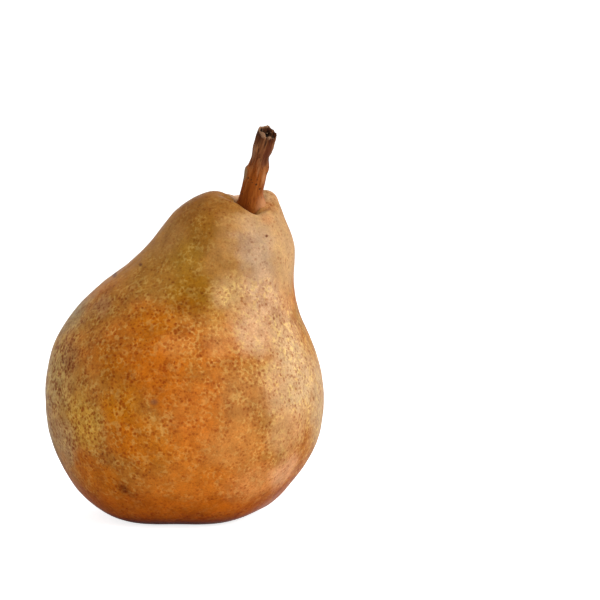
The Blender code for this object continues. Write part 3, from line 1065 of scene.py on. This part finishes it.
class Ledge(NamedTuple):
    """The slope that fills the pit to the right of the stem: it falls to the front and to the right."""

    crest: float  # its height at the back
    crest_y: float  # where it starts to fall to the front
    fall: float  # to the front, in millimetres for each
    edge_x: float  # where it starts to round off to the right
    rounding: float
    from_x: float  # it sets in from here to the right
    to_x: float
    most: float  # the most that it fills

    def level(self, place: Vector) -> float:
        """How high the slope is at a place."""
        front = max(self.crest_y - place.y, 0.0) * self.fall
        return self.crest - front - self.rounding * max(place.x - self.edge_x, 0.0) ** 2


class Dent(NamedTuple):
    """A place on the crown that lies lower than the rings say, or higher."""

    turn: float  # degrees from the right, through the back
    radius: float  # of the ring that it is on
    depth: float
    turn_reach: float
    radius_reach: float


@dataclass
class Fruit:
    """The flesh with its russet skin, from the stem's pit to the eye."""

    rings: tuple[FruitRing, ...] = FRUIT_RINGS
    rows: int = 96
    segments: int = 96
    shoulder_angle: float = 25.0
    highest_shoulder: float = 1.2
    deepest_gap: float = 5.0
    gap_width: float = 58.0
    dents: tuple[Dent, ...] = (
        Dent(120, 7.5, 0.9, 45, 3.0),  # the rim behind the stem
        Dent(132, 8.5, -0.7, 14, 2.5),  # and where it meets the left shoulder
        Dent(15, 10.0, 0.8, 38, 2.5),  # the right shoulder
        Dent(12, 8.4, 0.6, 30, 1.4),  # and its inner side
        Dent(229, 7.0, 2.7, 24, 2.5),  # the left shoulder, towards the pit
    )
    ledge: Ledge = Ledge(93.5, -3.0, 0.6, 23.3, 0.25, 19.5, 22.5, 6.0)
    crease: Dent = Dent(312, 6.2, 0.9, 34, 0.9)  # under the foot of the stem
    crown_height: float = 80.0  # the crown starts here
    waist_height: float = 45.0
    pit_radius: tuple[float, float] = (10.5, 13.5)  # the solid's own shape sets in between them
    eye_radius: tuple[float, float] = (11.0, 14.0)
    pit_rows: int = 8  # rows from the floor of the pit that the solid leaves alone
    pit_middle: Triple = (18.0, -5.6, 90.0)
    swells: Lumps = Lumps(0.5, 14.0)
    dimples: Lumps = Lumps(0.16, 4.5)
    wrinkles: Lumps = Lumps(0.45, 1.6)
    drawn: list[FruitRing] = field(init=False)  # the ring of every row
    skin: Piece = field(init=False)  # the mesh that is being shaped

    def build(self, patterns: Patterns) -> Piece:
        """Models and dresses the fruit.

        Args:
            patterns: The shared node groups.

        Returns:
            The finished piece.
        """
        self.skin = fruit = self.draw_skin()
        self.shape_crown()
        self.fit_to_solid()
        close_ends(fruit, self.segments)
        subdivide(fruit)
        self.make_uneven()
        shade_smooth(fruit)
        fruit.data.materials.append(RussetSkin().make(patterns))
        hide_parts("fruit")
        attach(fruit, "root")
        LOG.info("fruit: %d faces", len(fruit.data.polygons))
        return fruit

    def draw_skin(self) -> Piece:
        """Lofts the skin through the rings, from the pit over the crown and down into the eye."""
        self.drawn = [between(self.rings, row / self.rows) for row in range(1, self.rows)]
        stations = []
        for ring in self.drawn:
            place = MIDDLE + Vector((ring.right, -ring.front, ring.height - ring.shoulders))
            stations.append(Station(*place, ring.radius, ring.nod))
        return loft("pear_fruit", stations, self.segments)

    def ring_of(self, index: int, place: Vector) -> tuple[FruitRing, float]:
        """The ring that a vertex is on and its angle on it, from the right through the back."""
        ring = self.drawn[index // self.segments]
        return ring, math.atan2(place.y - MIDDLE.y + ring.front, place.x - MIDDLE.x - ring.right)

    def shape_crown(self) -> None:
        """Raises the two shoulders of the crown and opens the gap that the stem leans over."""

        def shoulder(index: int, place: Vector) -> float:
            """How much of the shoulders' wave a vertex shows."""
            ring, angle = self.ring_of(index, place)
            wave = 0.5 + 0.5 * math.cos(math.radians(2 * turn_between(angle, self.shoulder_angle)))
            return wave * ring.shoulders / self.highest_shoulder

        def gap(index: int, place: Vector) -> float:
            """How much of the gap a vertex shows."""
            ring, angle = self.ring_of(index, place)
            off = abs(turn_between(angle, ring.gap_at)) / self.gap_width
            return math.exp(-(off**3)) * ring.gap / self.deepest_gap

        lift(self.skin, 2 * self.highest_shoulder, shoulder)
        lift(self.skin, -self.deepest_gap, gap)
        for dent in self.dents:
            self.press(dent)
        self.fill_pit()
        self.press(self.crease)

    def press(self, dent: Dent) -> None:
        """Presses a dent into the crown.

        Args:
            dent: The dent, or a bump where its depth is below 0.
        """

        def weight(index: int, place: Vector) -> float:
            """How much of the dent a vertex shows."""
            ring, angle = self.ring_of(index, place)
            if ring.height <= self.crown_height:
                return 0.0
            off = ring.radius - dent.radius
            return hill(turn_between(angle, dent.turn), dent.turn_reach) * hill(off, dent.radius_reach)

        lift(self.skin, -dent.depth, weight)

    def fill_pit(self) -> None:
        """Fills the pit to the right of the stem up to a slope."""
        ledge = self.ledge

        def missing(index: int, place: Vector) -> float:
            """How much of the slope is still missing at a vertex."""
            ring, _ = self.ring_of(index, place)
            inside = eased(ring.radius, 11.0, 7.0) if ring.height > self.crown_height else 0.0
            lack = max(ledge.level(place) - place.z, 0.0) / ledge.most
            return inside * lack * eased(place.x, ledge.from_x, ledge.to_x)

        lift(self.skin, ledge.most, missing)

    def fit_to_solid(self) -> None:
        """Draws the outside onto the CAD solid, with its lobes and flat base, and evens it out."""

        def outside(index: int, place: Vector) -> float:
            """1 away from the pit and the eye, where the solid has its sockets."""
            ring, _ = self.ring_of(index, place)
            if index // self.segments <= self.pit_rows:
                return 0.0
            upper = ring.height > self.waist_height
            return eased(ring.radius, *(self.pit_radius if upper else self.eye_radius))

        group = paint(self.skin, "outside", outside)
        modify(self.skin, "SHRINKWRAP", target=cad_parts["fruit"], vertex_group=group)
        modify(self.skin, "SMOOTH", factor=0.5, iterations=2, vertex_group=group)

    def make_uneven(self) -> None:
        """Gives the skin its slight unevenness, and the pit its wrinkles."""
        above = paint(self.skin, "above", lambda _, place: eased(place.z, 1.5, 12.0))
        roughen(self.skin, self.swells, above)
        roughen(self.skin, self.dimples, above)
        middle = MIDDLE + Vector(self.pit_middle)
        pit = paint(self.skin, "pit", lambda _, place: eased((place - middle).length, 10.0, 4.0))
        roughen(self.skin, self.wrinkles, pit)


# The stem


class StemRing(NamedTuple):
    """One cross-section of the stem."""

    along: float  # distance up the stem from the floor of the pit
    radius: float
    bark: float = 1.0  # share of the bark's ridges that it shows
    torn: float = 0.0  # share of the torn end's unevenness that it shows


STEM_RINGS = (
    StemRing(-3.2, 2.4, 0.1),
    StemRing(-1.6, 3.7, 0.1),
    StemRing(0.4, 3.9, 0.2),
    StemRing(2.6, 3.4, 0.4),
    StemRing(6.0, 3.1, 0.6),
    StemRing(9.6, 3.0, 0.8),
    StemRing(12.6, 2.65, 1.0),
    StemRing(15.4, 2.4, 1.0),
    StemRing(19.2, 2.75, 1.0),
    StemRing(22.3, 2.85, 1.0, 0.2),
    StemRing(24.5, 2.75, 0.9, 0.8),
    StemRing(24.9, 2.55, 0.7, 1.0),
    StemRing(24.5, 2.25, 0.5, 0.9),
    StemRing(22.8, 2.0, 0.4, 0.5),
    StemRing(21.4, 1.3, 0.3, 0.3),
    StemRing(21.3, 0.3, 0.0, 0.2),
)


class Swelling(NamedTuple):
    """A place where the stem is thicker on one side."""

    along: float
    turn: float  # degrees from the right through the back
    height: float
    reach: float
    taller: float = 1.0  # how much further it reaches along than round


@dataclass
class Stem:
    """The woody stem, scarred where a bud was and torn at its end."""

    place: StemFrame = StemFrame()
    rings: tuple[StemRing, ...] = STEM_RINGS
    rows: int = 110
    segments: int = 72
    swellings: tuple[Swelling, ...] = (
        Swelling(11.4, 195, 0.5, 1.4),  # the bud's scar
        Swelling(13.6, 5, 0.9, 1.9, 1.3),  # the knot
        Swelling(9.6, 5, 0.25, 2.0),  # and below it
        Swelling(1.6, 344, 2.2, 2.6),  # the foot, to the right
    )
    teeth: Lumps = Lumps(1.5, 1.1, 1)
    ridges: tuple[tuple[Lumps, float], ...] = (  # each with how much longer than wide they are
        (Lumps(0.75, 1.5, 1), 9.0),
        (Lumps(0.5, 0.6, 1), 10.0),
    )
    splinters: int = 15
    drawn: list[StemRing] = field(init=False)  # the ring of every row
    wood: Piece = field(init=False)  # the mesh that is being shaped

    def build(self, patterns: Patterns) -> list[Piece]:
        """Models and dresses the stem and its fibres.

        Args:
            patterns: The shared node groups.

        Returns:
            The finished pieces.
        """
        self.wood = stem = self.draw_stem()
        self.swell()
        self.tear()
        close_ends(stem, self.segments)
        self.ridge()
        subdivide(stem)
        fibres = self.draw_splinters()
        for piece in (stem, fibres):
            piece.data.transform(self.place.matrix)
            shade_smooth(piece)
        stem.data.materials.append(StemBark().make(patterns, self.place))
        fibres.data.materials.append(TornWood().make(patterns, self.place))
        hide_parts("stem")
        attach(stem, "root")
        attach(fibres, "root")
        LOG.info("stem: %d faces, fibres: %d faces", len(stem.data.polygons), len(fibres.data.polygons))
        return [stem, fibres]

    def draw_stem(self) -> Piece:
        """Lofts the stem on its own axes, bowed to the right, with the hollow of its torn end."""
        self.drawn = [between(self.rings, row / self.rows) for row in range(self.rows + 1)]
        stations = []
        for ring in self.drawn:
            tip = math.degrees(math.atan(2 * self.place.bow * abs(ring.along) / self.place.length**2))
            stations.append(Station(self.place.bowed(ring.along), 0.0, ring.along, ring.radius, tip))
        return loft("pear_stem", stations, self.segments, "Y")

    def ring_of(self, index: int, place: Vector) -> tuple[StemRing, float]:
        """The ring that a vertex is on and its angle on it, from the right through the back."""
        ring = self.drawn[index // self.segments]
        return ring, math.atan2(place.y, place.x - self.place.bowed(ring.along))

    def swell(self) -> None:
        """Thickens the stem at its scar, its knot and its foot."""
        for swelling in self.swellings:

            def weight(index: int, place: Vector, at: Swelling = swelling) -> float:
                """How much of the swelling a vertex shows."""
                ring, angle = self.ring_of(index, place)
                round_it = math.radians(turn_between(angle, at.turn)) * ring.radius
                along = (ring.along - at.along) / at.taller
                return hill(math.hypot(along, round_it), at.reach) * min(ring.radius, 1.0)

            push(self.wood, swelling.height, paint(self.wood, "swelling", weight))

    def tear(self) -> None:
        """Slants the end to the front and tears its rim into teeth."""
        end = self.place

        def slant(index: int, place: Vector) -> float:
            """How much of the end's slant a vertex shows."""
            ring, _ = self.ring_of(index, place)
            fallen = end.fall_at(place.x - end.bowed(ring.along), place.y)
            return eased(place.z, 14.0, 22.0) * (0.5 + fallen / end.whole_fall)

        lift(self.wood, -end.whole_fall, slant)
        torn = paint(self.wood, "torn", lambda index, place: self.ring_of(index, place)[0].torn)
        roughen(self.wood, self.teeth, torn, Way.UP)

    def ridge(self) -> None:
        """Raises ridges along the bark and cracks between them, more of them towards the torn end."""
        along = bpy.data.objects.new("along the stem", None)
        bpy.context.scene.collection.objects.link(along)
        bark = paint(self.wood, "bark", lambda _, place: eased(place.z, -2.0, 16.0) * 0.8 + 0.2)
        for lumps, taller in self.ridges:
            along.scale = (1.0, 1.0, taller)
            bpy.context.view_layer.update()
            roughen(self.wood, lumps, bark, along=along)
        bpy.data.objects.remove(along)

    def draw_splinters(self) -> Piece:
        """Models one fibre, copies it round the torn end and joins the copies."""
        steps = ((0.0, 1.0), (0.3, 0.9), (0.55, 0.75), (0.8, 0.5), (1.0, 0.12))
        stations = [Station(0.22 * share**2, 0.0, share, 0.5 * size, 12 * share) for share, size in steps]
        fibre = loft("fibre", stations, 7, "Y")
        close_ends(fibre, 7)
        draw = random.Random(11)
        places = [self.draw_place(draw, number) for number in range(self.splinters)]
        return joined("pear_stem_fibres", copied(fibre, places))

    def draw_place(self, draw: random.Random, number: int) -> Matrix:
        """Draws where a fibre stands on the stem's own axes. Every third stands in the hollow.

        Args:
            draw: Gives the random numbers.
            number: The fibre's number.

        Returns:
            The matrix from the fibre that is copied to its place.
        """
        inner = number % 3 == 2
        turn = 360.0 * number / self.splinters + draw.uniform(-14, 14)
        out = draw.uniform(0.4, 1.5) if inner else draw.uniform(2.0, 2.4)
        length = draw.uniform(1.2, 2.2) if inner else draw.uniform(0.6, 1.2)
        width = draw.uniform(0.4, 0.9)
        lean = draw.uniform(-60, 30) if inner else draw.uniform(-50, 0)
        around, end = math.radians(turn), self.place
        fallen = end.fall_at(out * math.cos(around), out * math.sin(around)) + 0.5 * end.whole_fall
        root = moved(end.bowed(end.length - 1.0), 0.0, end.length - (2.6 if inner else 0.9) - fallen)
        size = Matrix.Diagonal((width * 0.7, width * 1.3, length, 1.0))
        return root @ turned(turn, "Z") @ moved(out, 0.0, 0.0) @ turned(lean, "Y") @ size


# The calyx


@dataclass
class Calyx:
    """The dried flower end in the eye: a short tube, five curled sepals and the withered stamens."""

    eye: Triple = (-1.4, 0.0, 7.2)  # on the ring tables' own axis
    sepals: int = 5
    sepal_lengths: tuple[float, float] = (4.2, 4.9)
    sepal_thickness: float = 0.35
    stamens: int = 11
    withering: Lumps = Lumps(0.3, 1.2)

    def build(self, patterns: Patterns) -> Piece:
        """Models and dresses the calyx.

        Args:
            patterns: The shared node groups.

        Returns:
            The finished piece.
        """
        draw = random.Random(5)
        pieces = [self.draw_tube(), *self.draw_sepals(draw), *self.draw_stamens(draw)]
        calyx = joined("pear_calyx", pieces)
        roughen(calyx, self.withering)
        calyx.data.transform(moved(*(MIDDLE + Vector(self.eye))))
        shade_smooth(calyx)
        calyx.data.materials.append(DriedSepal().make(patterns))
        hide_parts("calyx")
        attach(calyx, "root")
        LOG.info("calyx: %d faces", len(calyx.data.polygons))
        return calyx

    def draw_tube(self) -> Piece:
        """Lofts the tube, from its floor over its mouth, which faces down, to its sunken root."""
        inner = ((1.6, 0.3), (1.4, 1.0), (0.3, 1.45), (-0.7, 1.7))
        outer = ((-0.9, 2.0), (-0.6, 2.3), (0.8, 2.5), (3.0, 2.2))
        tube = loft("calyx_tube", [Station(0.0, 0.0, z, radius) for z, radius in inner + outer], 28)
        close_ends(tube, 28)
        subdivide(tube)
        return tube

    def draw_sepals(self, draw: random.Random) -> list[Piece]:
        """Models one sepal as a strip that curls out and down, and copies it round the eye.

        Args:
            draw: Gives the random numbers.

        Returns:
            The sepals.
        """
        deselect_all()
        bpy.ops.mesh.primitive_plane_add(size=1.0 * MM, location=(1.0 * MM, 0.0, 0.0))
        sepal = named("sepal")
        bpy.ops.object.mode_set(mode="EDIT")
        pick(sepal, lambda vertex: vertex.co.x > 1.2 * MM)
        near = ((0.7, -0.05, 1.9), (0.7, -0.2, 1.25), (0.65, -0.4, 0.95))
        tip = ((0.55, -0.55, 0.75), (0.45, -0.6, 0.4))
        for out, up, wider in near + tip:
            bpy.ops.mesh.extrude_region_move(TRANSFORM_OT_translate={"value": (out * MM, 0.0, up * MM)})
            bpy.ops.transform.resize(value=(1.0, wider, 1.0))
        bpy.ops.mesh.select_all(action="SELECT")
        bpy.ops.mesh.subdivide(number_cuts=2)
        bpy.ops.object.mode_set(mode="OBJECT")
        lift(sepal, 0.45, lambda _, place: min(abs(place.y) / 1.4, 1.0) ** 2)
        modify(sepal, "SOLIDIFY", thickness=self.sepal_thickness * MM, offset=0.0)
        subdivide(sepal)
        places = []
        for number in range(self.sepals):
            around = math.tau * number / self.sepals + draw.uniform(-0.12, 0.12)
            grown = draw.uniform(*self.sepal_lengths) / 4.5
            place = moved(0.0, 0.0, -0.55) @ turned(math.degrees(around), "Z")
            place = place @ turned(draw.uniform(-4, 16), "Y")
            places.append(place @ Matrix.Diagonal((grown, grown, draw.uniform(0.8, 1.3), 1.0)))
        return copied(sepal, places)

    def draw_stamens(self, draw: random.Random) -> list[Piece]:
        """Models one stamen with its anther, and copies it inside the tube.

        Args:
            draw: Gives the random numbers.

        Returns:
            The stamens.
        """
        profile = ((0.4, 0.14), (-0.8, 0.11), (-1.7, 0.09), (-2.0, 0.2), (-2.3, 0.24), (-2.6, 0.12))
        stamen = loft("stamen", [Station(0.05 * z * z, 0.0, z, radius) for z, radius in profile], 8)
        close_ends(stamen, 8)
        places = []
        for number in range(self.stamens):
            around = math.tau * number / self.stamens + draw.uniform(-0.2, 0.2)
            place = turned(math.degrees(around), "Z") @ moved((0.5, 1.1)[number % 2], 0.0, 0.0)
            place = place @ turned(draw.uniform(-22, 4), "Y")
            places.append(place @ Matrix.Diagonal((1.0, 1.0, draw.uniform(0.8, 1.15), 1.0)))
        return copied(stamen, places)


# The studio


class SoftBox(NamedTuple):
    """One soft lamp that looks at the pear."""

    name: str
    place: Triple
    size: float
    power: float


@dataclass
class Studio:
    """The pale floor, the soft lamps and the camera at the photo's angle."""

    camera_at: Triple = (33.0, -944.0, 166.0)
    aimed_at: Triple = (33.0, 0.0, 62.0)
    lens: float = 200.0
    pear_middle: Triple = (0.0, 0.0, 50.0)
    lamps: tuple[SoftBox, ...] = (
        SoftBox("key", (600, -420, 330), 600, 4.4),
        SoftBox("top", (60, 60, 700), 600, 1.3),
        SoftBox("fill", (-600, -500, 260), 600, 1.1),
        SoftBox("rim", (700, 420, 200), 500, 1.6),
    )
    surroundings: float = 0.56  # how bright they light the pear
    mirrored: float = 1.0  # how bright they are in its gloss
    behind: float = 1.2  # how bright the camera sees them
    floor_radius: float = 4000.0
    floor_glow: float = 0.8

    def build(self) -> None:
        """Builds the whole studio."""
        self.lay_floor()
        for lamp in self.lamps:
            self.hang(lamp)
        self.light_surroundings()
        self.set_camera()
        LOG.info("studio: %d lamps", len(self.lamps))

    def lay_floor(self) -> None:
        """Lays the floor under the pear."""
        deselect_all()
        radius = self.floor_radius * MM
        below = (0.0, 0.0, -0.05 * MM)
        bpy.ops.mesh.primitive_circle_add(vertices=96, radius=radius, fill_type="NGON", location=below)
        floor = named("floor")
        material, graph = new_material("pale_floor")
        grain = graph.noise(own_point(graph), 40.0, 2.0).outputs["Fac"]
        colour = graph.mix(graph.ramp(grain, 0.3, 0.7), (0.74, 0.74, 0.74, 1.0), (0.76, 0.76, 0.76, 1.0))
        roughness = graph.ramp(grain, 0.3, 0.7, 0.9, 1.0)
        seen = graph.add("LightPath").outputs["Is Camera Ray"]
        glow = graph.times(seen, self.floor_glow)
        shade_with(graph, Surface(colour, roughness, grain, 0.02, 0.1, specular=0.1, glow=glow))
        floor.data.materials.append(material)

    @staticmethod
    def stand(name: str, what: bpy.types.ID, place: Triple, target: Triple) -> Piece:
        """Stands a lamp or the camera at a place, and turns it to a target."""
        made = bpy.data.objects.new(name, what)
        made.location = Vector(place) * MM
        made.rotation_euler = (Vector(target) - Vector(place)).to_track_quat("-Z", "Y").to_euler()
        bpy.context.scene.collection.objects.link(made)
        return made

    def hang(self, lamp: SoftBox) -> None:
        """Hangs one lamp and turns it to the pear."""
        light = bpy.data.lights.new(lamp.name, "AREA")
        light.shape = "DISK"
        light.size = lamp.size * MM
        light.energy = lamp.power
        self.stand(lamp.name, light, lamp.place, self.pear_middle)

    def light_surroundings(self) -> None:
        """Makes the surroundings white, with a softer light of their own on the pear."""
        world = bpy.data.worlds.new("white_room")
        world.use_nodes = True
        graph = Graph(world.node_tree)
        path = graph.add("LightPath").outputs
        seen = graph.times(path["Is Camera Ray"], self.behind - self.surroundings)
        mirrored = graph.times(path["Is Glossy Ray"], self.mirrored - self.surroundings)
        strength = graph.math("ADD", graph.math("ADD", seen, mirrored), self.surroundings)
        white = graph.add("Background", {"Color": WHITE, "Strength": strength})
        graph.add("OutputWorld", {0: white.outputs[0]})
        bpy.context.scene.world = world

    def set_camera(self) -> None:
        """Puts the camera where the photo was taken from."""
        camera = bpy.data.cameras.new("camera")
        camera.lens = self.lens
        camera.sensor_width = 36.0
        bpy.context.scene.camera = self.stand("camera", camera, self.camera_at, self.aimed_at)
        bpy.context.scene.view_settings.view_transform = "Standard"


def main() -> None:
    """Builds the pear and its studio."""
    logging.basicConfig(level=logging.INFO, format="%(message)s")
    patterns = Patterns()
    Fruit().build(patterns)
    Stem().build(patterns)
    Calyx().build(patterns)
    Studio().build()


if __name__ == "__main__":
    main()
